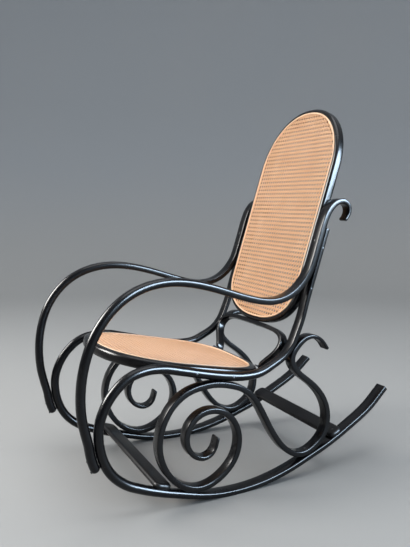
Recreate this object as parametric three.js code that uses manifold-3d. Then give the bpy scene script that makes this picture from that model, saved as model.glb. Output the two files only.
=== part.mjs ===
// Bentwood rocking chair, in millimetres, +Z up, the sitter facing -Y.
// The origin is at floor level, under the middle of the chair's overall box.

import * as THREE from 'three';
import Module from 'manifold-3d';
import { mergeVertices } from 'three/addons/utils/BufferGeometryUtils.js';

const wasm = await Module();
wasm.setup();

// Overall sizes of a side frame
const sideLength = 920;
const postHeight = 704;
const halfSpacing = 218;
const toeInShare = 0.0418;

// Bent rods: round in front, planed flat behind
const frameRound = 25;
const runnerFlatWidth = 38;
const runnerFlatThickness = 15;
const postFlatWidth = 32;
const postFlatThickness = 13;
const armRound = 24;
const armFlatWidth = 34;
const armFlatThickness = 17;
const armTipWidth = 30;
const armTipThickness = 9;
const armBow = 14;
const scrollWidth = 32;
const scrollThickness = 16;
const scrollTipWidth = 34;
const scrollTipThickness = 9;
const flatCorner = 3;
const floorFlatDepth = 1.4;

// Seat: a bent ring with a cane sheet held by a spline
const seatLength = 475;
const seatMiddleYShare = -0.1848;
const seatMiddleHeight = 354.5;
const seatHeightShare = 0.50355;
const seatSlopeShare = 0.2021;
const seatRingWidth = 42;
const seatRingThickness = 28;
const seatRim = 19;
const seatSideGap = 0.8;
const seatFrontSquareShare = 2.4;
const seatRearSquareShare = 3.5;

// Back: a tall hoop with a cane sheet held by a spline
const backHalfWidth = 197;
const backLength = 670;
const backLift = 65.5;
const backSeatYShare = 0.0926;
const backPostYShare = 0.2128;
const backTopRise = 190;
const backBottomRise = 126;
const backFrameWidth = 26;
const backFrameDepth = 28;
const backRim = 12;
const backTopSquareShare = 2.1;
const backBottomSquareShare = 2.3;
const postSeat = 17;

// Cane sheets and splines
const caneThickness = 1.2;
const splineWidth = 5;
const splineHeight = 3;
const rimRise = 2;
const ringRounding = 7;
const seatOpeningCounts = [8, 9];
const backOpeningCounts = [8, 14];
const caneOpenShare = 0.53;

// Lower-back hoop
const hoopDepth = 26;
const hoopThickness = 13;
const hoopHalfWidth = 182;
const hoopFootSpread = 132;
const hoopFootInset = 1.7;
const hoopFootDrop = 6.8;

// Stretcher boards
const stretcherThickness = 15;
const frontStretcherWidth = 48;
const rearStretcherWidth = 44;
const stretcherHousing = 2;

// Screws and fits
const contactGap = 0.35;
const screwHeadRadius = 5;
const screwHeadHeight = 3;
const screwShankRadius = 2.2;
const screwClearance = 0.3;
const screwBite = 9;
const screwShoulderShare = 0.72;
const overrun = 14;

// Where the rods change their section, as shares of their points
const runnerFlatShares = [0.2361, 0.375];
const postFlatShares = [0.7639, 0.875];
const armFlatShares = [0.2667, 0.7556];
const armTipShare = 0.1556;
const armBowShare = 0.6452;
const scrollTipShare = 0.1;

// Counts
const sectionCorners = 8;
const ringsPerSpan = 2;
const outlineSteps = 48;
const screwSides = 8;
const nearestSteps = 400;

const lacquer = new THREE.MeshStandardMaterial({ color: 0x17181c, roughness: 0.36, metalness: 0 });
const cane = new THREE.MeshStandardMaterial({ color: 0xdcae7c, roughness: 0.7, metalness: 0 });
const reed = new THREE.MeshStandardMaterial({ color: 0xe8c79c, roughness: 0.62, metalness: 0 });
const steel = new THREE.MeshStandardMaterial({ color: 0x3a3a3d, roughness: 0.42, metalness: 0.85 });

const chair = new THREE.Group();
const pieces = new Map();
const cuts = new Map();

// Closed meshes become solids for cutting, and come back as meshes
function toSolid(geometry) {
  const bare = geometry.clone();
  bare.deleteAttribute('normal');
  bare.deleteAttribute('uv');
  const merged = mergeVertices(bare);
  const vertProperties = new Float32Array(merged.attributes.position.array);
  const triVerts = new Uint32Array(merged.index.array);
  return new wasm.Manifold(new wasm.Mesh({ numProp: 3, vertProperties, triVerts }));
}

function toGeometry(solid) {
  const mesh = solid.getMesh();
  const geometry = new THREE.BufferGeometry();
  geometry.setAttribute('position', new THREE.BufferAttribute(mesh.vertProperties, 3));
  geometry.setIndex(new THREE.BufferAttribute(mesh.triVerts, 1));
  return geometry;
}

function addPiece(name, geometry, material) {
  pieces.set(name, { geometry, material });
  cuts.set(name, []);
}

const alongX = new THREE.Vector3(1, 0, 0);
const alongY = new THREE.Vector3(0, 1, 0);

// Turns a shape's +Y axis to a direction and moves it to a place
function placed(geometry, direction, place) {
  const turn = new THREE.Quaternion().setFromUnitVectors(alongY, direction);
  return geometry.clone().applyQuaternion(turn).translate(place.x, place.y, place.z);
}

// Half sizes of a rod that is planed from round to flat by a share
function rodSection(round, flatWidth, flatThickness, flatShare) {
  const roundCorner = (round / 2) * (1 - Math.tan(Math.PI / sectionCorners));
  return {
    halfWidth: THREE.MathUtils.lerp(round, flatWidth, flatShare) / 2,
    halfThickness: THREE.MathUtils.lerp(round, flatThickness, flatShare) / 2,
    corner: THREE.MathUtils.lerp(roundCorner, flatCorner, flatShare),
  };
}

// A bent rod: a straight bar bent onto a curve that lies square to its own width
class BentRod {
  constructor(points, section, across = alongX) {
    this.curve = new THREE.CatmullRomCurve3(points, false, 'centripetal');
    this.spans = points.length - 1;
    this.section = section;
    this.across = across;
  }

  // The rod's own square frame at a share of its points
  frame(share) {
    const place = this.curve.getPoint(share);
    const along = this.curve.getTangent(share).projectOnPlane(this.across).normalize();
    const out = new THREE.Vector3().crossVectors(along, this.across);
    return { place, along, out };
  }

  // A place beside the rod in its own plane, clear of its face by the given distance
  beside(share, facing, distance) {
    const { place, out } = this.frame(share);
    const reach = this.section(share).halfThickness + contactGap + distance;
    return place.addScaledVector(out, facing * reach);
  }

  // A place on the rod's face, and the way the face looks
  face(share, facing) {
    const { place, out } = this.frame(share);
    const direction = out.multiplyScalar(facing);
    place.addScaledVector(direction, this.section(share).halfThickness);
    return { place, direction };
  }

  sideFace(share, facing) {
    const { place } = this.frame(share);
    const direction = this.across.clone().multiplyScalar(facing);
    place.addScaledVector(direction, this.section(share).halfWidth);
    return { place, direction };
  }

  geometry() {
    const bar = new THREE.Shape();
    bar.moveTo(1, -0.5);
    bar.lineTo(1, 0.5);
    bar.lineTo(0.5, 1);
    bar.lineTo(-0.5, 1);
    bar.lineTo(-1, 0.5);
    bar.lineTo(-1, -0.5);
    bar.lineTo(-0.5, -1);
    bar.lineTo(0.5, -1);
    const steps = this.spans * ringsPerSpan;
    const straight = new THREE.ExtrudeGeometry(bar, { depth: 1, steps, bevelEnabled: false });
    const position = straight.attributes.position;
    for (let i = 0; i < position.count; i += 1) {
      const u = position.getX(i);
      const v = position.getY(i);
      const share = position.getZ(i);
      const { halfWidth, halfThickness, corner } = this.section(share);
      const onSide = Math.abs(u) > Math.abs(v);
      const across = Math.sign(u) * (onSide ? halfWidth : halfWidth - corner);
      const outward = Math.sign(v) * (onSide ? halfThickness - corner : halfThickness);
      const { place, out } = this.frame(share);
      place.addScaledVector(this.across, across);
      place.addScaledVector(out, outward);
      position.setXYZ(i, place.x, place.y, place.z);
    }
    straight.deleteAttribute('normal');
    straight.deleteAttribute('uv');
    return mergeVertices(straight);
  }
}

function screwGeometry(length) {
  const shoulder = contactGap + screwHeadHeight * screwShoulderShare;
  const profile = [
    new THREE.Vector2(0, -length),
    new THREE.Vector2(screwShankRadius, -length),
    new THREE.Vector2(screwShankRadius, contactGap),
    new THREE.Vector2(screwHeadRadius, contactGap),
    new THREE.Vector2(screwHeadRadius * screwShoulderShare, shoulder),
    new THREE.Vector2(0, contactGap + screwHeadHeight),
  ];
  return new THREE.LatheGeometry(profile, screwSides);
}

// A screw through the named pieces: its head stands on a face, its shank runs in
function addScrew(name, { place, direction }, length, through) {
  const screw = toGeometry(toSolid(screwGeometry(length)));
  addPiece(name, placed(screw, direction, place), steel);
  const boreRadius = screwShankRadius + screwClearance;
  const seatRadius = screwHeadRadius + screwClearance;
  const boreLength = length + contactGap + overrun;
  const bore = new THREE.CylinderGeometry(boreRadius, boreRadius, boreLength, screwSides);
  bore.translate(0, overrun - boreLength / 2, 0);
  const seat = new THREE.CylinderGeometry(seatRadius, seatRadius, overrun, screwSides);
  seat.translate(0, overrun / 2, 0);
  const tool = toSolid(placed(bore, direction, place)).add(toSolid(placed(seat, direction, place)));
  for (const piece of through) {
    cuts.get(piece).push(tool);
  }
}

// Side frames lie in upright planes that close in towards the back
function sideX(y) {
  return halfSpacing - toeInShare * y;
}

// Heights are shares of the post, with the seat's own height at its share
function heightAt(share) {
  return share < seatHeightShare
    ? seatMiddleHeight * share / seatHeightShare
    : THREE.MathUtils.mapLinear(share, seatHeightShare, 1, seatMiddleHeight, postHeight);
}

// The back's front plane leans from its line over the seat to the top of the posts
const seatMiddleY = seatMiddleYShare * sideLength;
const backBottomHeight = seatMiddleHeight + backLift;
const backSlope = (backPostYShare - backSeatYShare) * sideLength / (postHeight - seatMiddleHeight);

function backY(z) {
  return backSeatYShare * sideLength + backSlope * (z - seatMiddleHeight);
}

// Rocker frame: the runner's underside from the tip forward, as shares of length and height
const runnerShares = [
  [0.489, 0.3], [0.42, 0.221], [0.335, 0.157], [0.257, 0.107], [0.177, 0.067],
  [0.105, 0.0345], [0.033, 0.0122], [-0.033, 0.0016], [-0.083, 0], [-0.136, 0.0035],
  [-0.193, 0.0145], [-0.25, 0.032], [-0.31, 0.053], [-0.364, 0.0775],
];
// Then its middle line round the front and along the seat to the foot of the post
const railShares = [
  [-0.413, 0.1264], [-0.451, 0.172], [-0.474, 0.227], [-0.485, 0.291], [-0.484, 0.352],
  [-0.468, 0.412], [-0.44, 0.4645], [-0.4, 0.5055], [-0.353, 0.5225], [-0.304, 0.521],
  [-0.245, 0.503], [-0.179, 0.481], [-0.114, 0.4625], [-0.049, 0.4505], [0.005, 0.4545],
  [0.052, 0.48], [0.09, 0.51], [0.116, 0.55], [0.133, 0.597], [0.149, 0.65],
];
const postShares = [0.716, 0.858, 1];
const slopeLength = Math.hypot(1, backSlope);
const postX = backHalfWidth + contactGap + postFlatWidth / 2;

const rockerSpans = runnerShares.length + railShares.length + postShares.length - 1;

// Flat along the rear of the runner and up the post, round between
function rockerSection(share) {
  const rear = 1 - THREE.MathUtils.smoothstep(share, ...runnerFlatShares);
  const post = THREE.MathUtils.smoothstep(share, ...postFlatShares);
  return post > 0
    ? rodSection(frameRound, postFlatWidth, postFlatThickness, post)
    : rodSection(frameRound, runnerFlatWidth, runnerFlatThickness, rear);
}

function rockerPoints(side) {
  const points = [];
  runnerShares.forEach(([yShare, zShare], i) => {
    const y = yShare * sideLength;
    const z = heightAt(zShare) + rockerSection(i / rockerSpans).halfThickness;
    points.push(new THREE.Vector3(side * sideX(y), y, z));
  });
  for (const [yShare, zShare] of railShares) {
    const y = yShare * sideLength;
    const rise = yShare > 0 ? THREE.MathUtils.smoothstep(zShare, 0.52, 0.66) : 0;
    const x = THREE.MathUtils.lerp(sideX(y), postX, rise);
    points.push(new THREE.Vector3(side * x, y, heightAt(zShare)));
  }
  for (const share of postShares) {
    const z = heightAt(share);
    points.push(new THREE.Vector3(side * postX, backY(z) + postSeat * slopeLength, z));
  }
  return points;
}

// Arm: foot beside the frame's front, over the armrest, up the post and into a curl
const armShares = [
  [-0.5139, 0.2989], [-0.5223, 0.3436], [-0.5294, 0.3901], [-0.5323, 0.4329], [-0.5323, 0.4761],
  [-0.5295, 0.5199], [-0.5242, 0.56], [-0.5165, 0.5982], [-0.5057, 0.6378], [-0.4919, 0.6739],
  [-0.4732, 0.7102], [-0.4501, 0.7441], [-0.4228, 0.7737], [-0.3931, 0.7962], [-0.363, 0.8115],
  [-0.329, 0.8218], [-0.293, 0.8261], [-0.256, 0.8241], [-0.22, 0.8171], [-0.1859, 0.8071],
  [-0.1521, 0.7947], [-0.1139, 0.7783], [-0.065, 0.7571], [-0.0301, 0.7436], [0.005, 0.7328],
  [0.0411, 0.7278], [0.076, 0.7326], [0.1077, 0.7485], [0.1342, 0.7731], [0.1562, 0.804],
  [0.1737, 0.8397],
];
const armRiserShares = [0.88, 0.95, 1.02];
const armCurlShares = [
  [0.2315, 1.056], [0.247, 1.084], [0.268, 1.1025], [0.292, 1.105], [0.309, 1.089],
  [0.3125, 1.065], [0.306, 1.045], [0.296, 1.03],
];
const armFootShares = [0.436, 0.4475, 0.459, 0.4705];
const armX = backHalfWidth + contactGap + armFlatWidth / 2;
const armSeat = postSeat - postFlatThickness / 2 - contactGap - armFlatThickness / 2;

function armPoints(side, rocker) {
  const points = armFootShares.map((share) => rocker.beside(share, -1, armRound / 2));
  const total = armShares.length - 1;
  armShares.forEach(([yShare, zShare], i) => {
    const y = yShare * sideLength;
    const rise = THREE.MathUtils.smoothstep(i / total, 0.55, 0.95);
    const bowed = Math.min(1, (i + 1) / armShares.length / armBowShare);
    const bow = armBow * Math.sin(Math.PI * bowed) ** 2;
    const x = THREE.MathUtils.lerp(sideX(y), armX, rise) + bow;
    points.push(new THREE.Vector3(side * x, y, heightAt(zShare)));
  });
  for (const share of armRiserShares) {
    const z = heightAt(share);
    points.push(new THREE.Vector3(side * armX, backY(z) + armSeat * slopeLength, z));
  }
  for (const [yShare, zShare] of armCurlShares) {
    points.push(new THREE.Vector3(side * armX, yShare * sideLength, heightAt(zShare)));
  }
  return points;
}

const armTables = [armFootShares, armShares, armRiserShares, armCurlShares];
const armSpans = armTables.reduce((sum, table) => sum + table.length, 0) - 1;

function armSection(share) {
  const tip = THREE.MathUtils.smoothstep(share, 1 - armTipShare, 1);
  const flatShare = THREE.MathUtils.smoothstep(share, ...armFlatShares);
  const width = THREE.MathUtils.lerp(armFlatWidth, armTipWidth, tip);
  const thickness = THREE.MathUtils.lerp(armFlatThickness, armTipThickness, tip);
  return rodSection(armRound, width, thickness, flatShare);
}

// Scroll: spiral end, inner and outer loops, up to the seat rail, down to the runner and up to a curl
const innerLoopShares = [
  [-0.1391, 0.2373], [-0.1499, 0.1943], [-0.165, 0.1748], [-0.1864, 0.1693], [-0.2126, 0.1833],
  [-0.2318, 0.2148], [-0.2378, 0.2487], [-0.2339, 0.2803], [-0.2221, 0.3074], [-0.2049, 0.3274],
  [-0.1848, 0.3392], [-0.1624, 0.343], [-0.1383, 0.3382], [-0.1121, 0.322], [-0.0853, 0.2843],
  [-0.0709, 0.2333], [-0.0718, 0.1821], [-0.0844, 0.1401], [-0.1067, 0.105], [-0.1374, 0.0762],
  [-0.1683, 0.06], [-0.1954, 0.0559],
];
const loopSeatShares = [0.2933];
const outerLoopShares = [
  [-0.2432, 0.0744], [-0.2627, 0.091], [-0.2802, 0.1126], [-0.2957, 0.1399], [-0.3081, 0.1714],
  [-0.3163, 0.2053], [-0.3195, 0.243], [-0.3164, 0.2847], [-0.3052, 0.3298], [-0.2858, 0.372],
  [-0.2652, 0.3991], [-0.2405, 0.4198], [-0.2111, 0.4331], [-0.1607, 0.4399],
];
const railSeatShares = [0.717];
const sweepShares = [
  [-0.097, 0.426], [-0.067, 0.4116], [-0.0405, 0.3904], [-0.0187, 0.3615], [0.0021, 0.3197],
  [0.0179, 0.282], [0.041, 0.2261], [0.0638, 0.1794], [0.0885, 0.1415], [0.1206, 0.1103],
  [0.1494, 0.0983],
];
const turnSeatShares = [0.109];
const riseShares = [
  [0.205, 0.1193], [0.2249, 0.1394], [0.2386, 0.162], [0.2492, 0.1956], [0.2518, 0.2437],
  [0.2433, 0.2889], [0.2239, 0.3333], [0.1943, 0.3755], [0.1656, 0.4055], [0.142, 0.4303],
  [0.1195, 0.4652], [0.1143, 0.4948],
];
const postSeatShares = [0.85];
const scrollCurlShares = [
  [0.1345, 0.5417], [0.1479, 0.5571], [0.1647, 0.5694], [0.1832, 0.5739], [0.2043, 0.5686],
  [0.2252, 0.5503], [0.2462, 0.5152],
];

function scrollPoints(side, rocker) {
  const half = scrollThickness / 2;
  const free = (table) => table.map(([yShare, zShare]) => {
    const y = yShare * sideLength;
    return new THREE.Vector3(side * sideX(y), y, heightAt(zShare));
  });
  const seated = (table, facing) => table.map((share) => rocker.beside(share, facing, half));
  return [
    ...free(innerLoopShares),
    ...seated(loopSeatShares, 1),
    ...free(outerLoopShares),
    ...seated(railSeatShares, 1),
    ...free(sweepShares),
    ...seated(turnSeatShares, 1),
    ...free(riseShares),
    ...seated(postSeatShares, 1),
    ...free(scrollCurlShares),
  ];
}

function scrollSection(share) {
  const inner = 1 - THREE.MathUtils.smoothstep(share, 0, scrollTipShare);
  const outer = THREE.MathUtils.smoothstep(share, 1 - scrollTipShare, 1);
  const tip = Math.max(inner, outer);
  const width = THREE.MathUtils.lerp(scrollWidth, scrollTipWidth, tip);
  const thickness = THREE.MathUtils.lerp(scrollThickness, scrollTipThickness, tip);
  return rodSection(width, width, thickness, 1);
}

// A flat outline's points, from half sizes and the power that squares its ends
function endPoint(angle, halfWidth, rise, squareShare) {
  const power = 2 / squareShare;
  return new THREE.Vector2(
    Math.sign(Math.cos(angle)) * halfWidth * Math.abs(Math.cos(angle)) ** power,
    Math.sign(Math.sin(angle)) * rise * Math.abs(Math.sin(angle)) ** power);
}

// Seat outline, drawn in by an inset and closing in towards the back with the side frames
const seatHalfWidth = sideX(seatMiddleY) - frameRound / 2 - seatSideGap;

function seatOutline(inset) {
  const points = [];
  for (let i = 0; i < outlineSteps; i += 1) {
    const angle = (i / outlineSteps) * 2 * Math.PI;
    const squareShare = Math.sin(angle) < 0 ? seatFrontSquareShare : seatRearSquareShare;
    const point = endPoint(angle, seatHalfWidth - inset, seatLength / 2 - inset, squareShare);
    point.x *= 1 - toeInShare * point.y / seatHalfWidth;
    points.push(point);
  }
  return points;
}

// Back outline, drawn in by an inset: two rounded ends with straight sides between
function backOutline(inset) {
  const points = [];
  const half = outlineSteps / 2;
  for (let i = 0; i <= half; i += 1) {
    const angle = (i / half) * Math.PI;
    const point = endPoint(angle, backHalfWidth - inset, backTopRise - inset, backTopSquareShare);
    points.push(point.setY(point.y + backLength - backTopRise));
  }
  for (let i = 0; i <= half; i += 1) {
    const angle = Math.PI + (i / half) * Math.PI;
    const point = endPoint(angle, backHalfWidth - inset, backBottomRise - inset, backBottomSquareShare);
    points.push(point.setY(point.y + backBottomRise));
  }
  return points;
}

// Whether a point lies inside a rounded outline, whose points run anticlockwise
function isWithin(outline, point) {
  return outline.every((start, i) => {
    const side = outline[(i + 1) % outline.length].clone().sub(start);
    return side.cross(point.clone().sub(start)) >= 0;
  });
}

// The cane's plain grid of openings: those that lie wholly inside its frame
function caneOpenings(inside, [countAcross, countAlong]) {
  const box = new THREE.Box2().setFromPoints(inside);
  const size = box.getSize(new THREE.Vector2());
  const cell = new THREE.Vector2(size.x / countAcross, size.y / countAlong);
  const half = cell.clone().multiplyScalar(caneOpenShare / 2);
  const openings = [];
  for (let i = 0; i < countAcross; i += 1) {
    for (let j = 0; j < countAlong; j += 1) {
      const middle = box.min.clone().add(new THREE.Vector2(i + 0.5, j + 0.5).multiply(cell));
      const corners = [[-1, -1], [1, -1], [1, 1], [-1, 1]].map(
        ([across, along]) => new THREE.Vector2(across, along).multiply(half).add(middle));
      if (corners.every((corner) => isWithin(inside, corner))) {
        openings.push(corners);
      }
    }
  }
  return openings;
}

// A flat plate or ring from outlines, between two heights over its plane
function plate(outer, inner, low, high, rounding) {
  const shape = new THREE.Shape(outer);
  if (inner) {
    shape.holes.push(new THREE.Path(inner));
  }
  const geometry = new THREE.ExtrudeGeometry(shape, {
    depth: high - low - 2 * rounding,
    steps: 1,
    bevelEnabled: rounding > 0,
    bevelThickness: rounding,
    bevelSize: rounding,
    bevelOffset: -rounding,
    bevelSegments: 1,
  });
  return geometry.translate(0, 0, low + rounding);
}

// A frame holding a cane sheet: ring with a rebate, sheet, and spline over its edge
function addCaned(word, frameName, outline, sizes, toPlace) {
  const ledge = -caneThickness - contactGap;
  const bottom = rimRise - sizes.thickness;
  const ring = plate(outline(0), outline(sizes.width), bottom, rimRise, ringRounding);
  const rebate = plate(outline(sizes.rim), null, ledge, ledge + overrun, 0);
  const cut = toGeometry(toSolid(ring).subtract(toSolid(rebate)));
  addPiece(frameName, cut.applyMatrix4(toPlace), lacquer);
  const edge = sizes.rim + contactGap;
  const sheet = plate(outline(edge), null, -caneThickness, 0, 0);
  const openings = caneOpenings(outline(sizes.width + contactGap), sizes.openingCounts);
  const punches = openings.map((corners) => toSolid(plate(corners, null, -overrun, overrun, 0)));
  const open = punches.reduce((solid, punch) => solid.subtract(punch), toSolid(sheet));
  addPiece(`${word}_cane`, toGeometry(open).applyMatrix4(toPlace), cane);
  const splineTop = contactGap + splineHeight;
  const spline = plate(outline(edge), outline(edge + splineWidth), contactGap, splineTop, 0);
  addPiece(`${word}_spline`, spline.applyMatrix4(toPlace), reed);
}

// A plane's place: its middle or foot, with its own upright axis leaning back by an angle
function leaning(angle, place) {
  return new THREE.Matrix4().makeRotationX(angle).setPosition(place);
}

const seatAngle = -Math.atan(seatSlopeShare);
const seatPlane = leaning(seatAngle, new THREE.Vector3(0, seatMiddleY, seatMiddleHeight));
const backAngle = Math.PI / 2 - Math.atan(backSlope);
const backPlane = leaning(backAngle, new THREE.Vector3(0, backY(backBottomHeight), backBottomHeight));
const seatSizes = {
  width: seatRingWidth,
  thickness: seatRingThickness,
  rim: seatRim,
  openingCounts: seatOpeningCounts,
};
const backSizes = {
  width: backFrameWidth,
  thickness: backFrameDepth,
  rim: backRim,
  openingCounts: backOpeningCounts,
};
addCaned('seat', 'seat_ring', seatOutline, seatSizes, seatPlane);
addCaned('back', 'back_frame', backOutline, backSizes, backPlane);

// Lower-back hoop: an arch from the rear of the seat ring to the foot of the back frame
const hoopArchShares = [
  [0.735, 0.1], [0.8, 0.225], [0.885, 0.36], [0.96, 0.5], [1, 0.65], [0.985, 0.79], [0.905, 0.895],
  [0.77, 0.96], [0.58, 0.988], [0.38, 0.996],
];
const hoopFoot = new THREE.Vector3(0, seatLength / 2 - hoopFootInset, -hoopFootDrop);
const hoopTop = new THREE.Vector3(0, 0, rimRise - backFrameDepth / 2);
hoopFoot.applyMatrix4(seatPlane);
hoopTop.applyMatrix4(backPlane);
const hoopUp = hoopTop.clone().sub(hoopFoot).normalize();
const hoopAcross = new THREE.Vector3().crossVectors(alongX, hoopUp);
const hoopHeight = hoopTop.distanceTo(hoopFoot) - hoopThickness / 2 - contactGap;

function hoopPoints() {
  const top = hoopTop.clone().addScaledVector(hoopUp, -hoopThickness / 2 - contactGap);
  const place = (xShare, vShare) => {
    const point = top.clone().addScaledVector(hoopUp, (vShare - 1) * hoopHeight);
    return point.setX(xShare * hoopHalfWidth);
  };
  const rising = [[hoopFootSpread / hoopHalfWidth, 0], ...hoopArchShares];
  const falling = rising.slice().reverse();
  return [
    ...rising.map(([x, v]) => place(-x, v)),
    place(0, 1),
    ...falling.map(([x, v]) => place(x, v)),
  ];
}

const hoop = new BentRod(
  hoopPoints(),
  () => rodSection(hoopDepth, hoopDepth, hoopThickness, 1),
  hoopAcross);
addPiece('lower_back_hoop', hoop.geometry(), lacquer);

// The hoop's foot and top are cut to lie against the seat ring and the back frame
const ringEdge = plate(seatOutline(-contactGap), null, -seatRingThickness - overrun, overrun, 0);
const frameEdge = plate(backOutline(-contactGap), null, -backFrameDepth - overrun, overrun, 0);
cuts.get('lower_back_hoop').push(toSolid(ringEdge.applyMatrix4(seatPlane)));
cuts.get('lower_back_hoop').push(toSolid(frameEdge.applyMatrix4(backPlane)));

// Stretcher boards lie in shallow housings across the two runners
const sides = [['left', 1], ['right', -1]];
const frontStretcherShare = 0.3355;
const rearStretcherShare = 0.0708;
const stretchers = [
  ['front', frontStretcherWidth, frontStretcherShare],
  ['rear', rearStretcherWidth, rearStretcherShare],
];

const rods = {};
for (const [word, side] of sides) {
  const rocker = new BentRod(rockerPoints(side), rockerSection);
  const arm = new BentRod(armPoints(side, rocker), armSection);
  const scroll = new BentRod(scrollPoints(side, rocker), scrollSection);
  addPiece(`${word}_rocker_frame`, rocker.geometry(), lacquer);
  addPiece(`${word}_arm`, arm.geometry(), lacquer);
  addPiece(`${word}_scroll`, scroll.geometry(), lacquer);
  rods[word] = { rocker, arm, scroll };
}

function board(length, width, thickness, { place, along, out }) {
  const geometry = new THREE.BoxGeometry(length, width, thickness);
  const axes = new THREE.Matrix4().makeBasis(alongX, along, out.clone().negate());
  const middle = place.clone().setX(0);
  return geometry.applyMatrix4(axes.setPosition(middle));
}

const boardTops = [];
for (const [word, width, share] of stretchers) {
  const { rocker } = rods.left;
  const spot = rocker.frame(share);
  const { halfWidth, halfThickness } = rocker.section(share);
  const length = 2 * (sideX(spot.place.y) + halfWidth);
  const foot = halfThickness - stretcherHousing;
  const rise = foot + contactGap + stretcherThickness / 2;
  const at = { ...spot, place: spot.place.clone().addScaledVector(spot.out, rise) };
  addPiece(`${word}_stretcher`, board(length, width, stretcherThickness, at), lacquer);
  const topPlace = at.place.clone().addScaledVector(spot.out, stretcherThickness / 2);
  boardTops.push([word, { place: topPlace, out: spot.out }]);
  const housingAt = { ...spot, place: spot.place.clone().addScaledVector(spot.out, foot + overrun / 2) };
  const housing = toSolid(board(length + 2 * overrun, width + 2 * contactGap, overrun, housingAt));
  for (const [side] of sides) {
    cuts.get(`${side}_rocker_frame`).push(housing);
  }
}

// The runners stand on a worn flat at floor level
const floorCut = new THREE.BoxGeometry(2 * sideLength, 2 * sideLength, 2 * overrun);
floorCut.translate(0, 0, floorFlatDepth - overrun);
for (const [side] of sides) {
  cuts.get(`${side}_rocker_frame`).push(toSolid(floorCut));
}

// A rod's share of points nearest to a place
function nearest(rod, place) {
  let best = 0;
  for (let i = 1; i <= nearestSteps; i += 1) {
    const share = i / nearestSteps;
    if (rod.curve.getPoint(share).distanceTo(place) < rod.curve.getPoint(best).distanceTo(place)) {
      best = share;
    }
  }
  return best;
}

// Screws where the scroll meets the frame, by the frame's share there
const scrollScrews = [
  ['front_runner', loopSeatShares[0]],
  ['rail', railSeatShares[0]],
  ['rear_runner', turnSeatShares[0]],
  ['post', postSeatShares[0]],
];
const armFootScrewShares = [0.0067, 0.0356];
const seatScrewShares = [0.683, 0.733];
const backScrewShares = [0.955, 0.985];
const hoopFootScrewShare = 0.02;
const hoopTopScrewShare = 0.014;

for (const [word, side] of sides) {
  const { rocker, arm, scroll } = rods[word];
  const frameName = `${word}_rocker_frame`;
  armFootScrewShares.forEach((share, i) => {
    const spot = arm.face(share, -1);
    const length = armRound + contactGap + screwBite;
    addScrew(`${word}_arm_foot_screw_${i + 1}`, spot, length, [`${word}_arm`, frameName]);
  });
  for (const [where, frameShare] of scrollScrews) {
    const touching = rocker.beside(frameShare, 1, scrollThickness / 2);
    const share = nearest(scroll, touching);
    const inward = rocker.frame(frameShare).place.sub(touching);
    const facing = -Math.sign(scroll.frame(share).out.dot(inward));
    const length = scrollThickness + contactGap + screwBite;
    const name = `${word}_scroll_${where}_screw`;
    addScrew(name, scroll.face(share, facing), length, [`${word}_scroll`, frameName]);
  }
  const riserShare = (armFootShares.length + armShares.length + 1) / armSpans;
  const riserLength = armFlatThickness + contactGap + screwBite;
  addScrew(`${word}_arm_post_screw`, arm.face(riserShare, -1), riserLength, [`${word}_arm`, frameName]);
  seatScrewShares.forEach((share, i) => {
    const spot = rocker.sideFace(share, side);
    const length = frameRound + seatSideGap + 2 * screwBite;
    addScrew(`${word}_seat_screw_${i + 1}`, spot, length, [frameName, 'seat_ring']);
  });
  backScrewShares.forEach((share, i) => {
    const spot = rocker.sideFace(share, side);
    const length = postFlatWidth + contactGap + screwBite;
    addScrew(`${word}_back_screw_${i + 1}`, spot, length, [frameName, 'back_frame']);
  });
}

const hoopScrews = [
  ['left_hoop_foot_screw', hoop.sideFace(1 - hoopFootScrewShare, -1), hoopDepth, 'seat_ring'],
  ['right_hoop_foot_screw', hoop.sideFace(hoopFootScrewShare, -1), hoopDepth, 'seat_ring'],
  ['left_hoop_top_screw', hoop.face(0.5 + hoopTopScrewShare, 1), hoopThickness, 'back_frame'],
  ['right_hoop_top_screw', hoop.face(0.5 - hoopTopScrewShare, 1), hoopThickness, 'back_frame'],
];
for (const [name, spot, through, into] of hoopScrews) {
  addScrew(name, spot, through + contactGap + screwBite, ['lower_back_hoop', into]);
}

for (const [word, at] of boardTops) {
  for (const [sideWord, side] of sides) {
    const place = at.place.clone().setX(side * sideX(at.place.y));
    const length = stretcherThickness + contactGap + screwBite;
    const through = [`${word}_stretcher`, `${sideWord}_rocker_frame`];
    addScrew(`${sideWord}_${word}_stretcher_screw`, { place, direction: at.out }, length, through);
  }
}

// Each piece is cut once, then the chair is set down with its box centred on the origin
for (const [name, { geometry, material }] of pieces) {
  const tools = cuts.get(name);
  const shaped = tools.length > 0
    ? toGeometry(tools.reduce((solid, tool) => solid.subtract(tool), toSolid(geometry)))
    : geometry;
  const mesh = new THREE.Mesh(shaped, material);
  mesh.name = name;
  chair.add(mesh);
}
const box = new THREE.Box3().setFromObject(chair);
const shift = new THREE.Vector3(0, -(box.min.y + box.max.y) / 2, -box.min.z);
for (const mesh of chair.children) {
  mesh.geometry.translate(shift.x, shift.y, shift.z);
}

export default chair;
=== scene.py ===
import math

import bmesh
import bpy
import numpy
from bpy.props import FloatProperty, FloatVectorProperty, IntProperty, PointerProperty
from mathutils import Matrix, Vector
from mathutils.kdtree import KDTree


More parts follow.
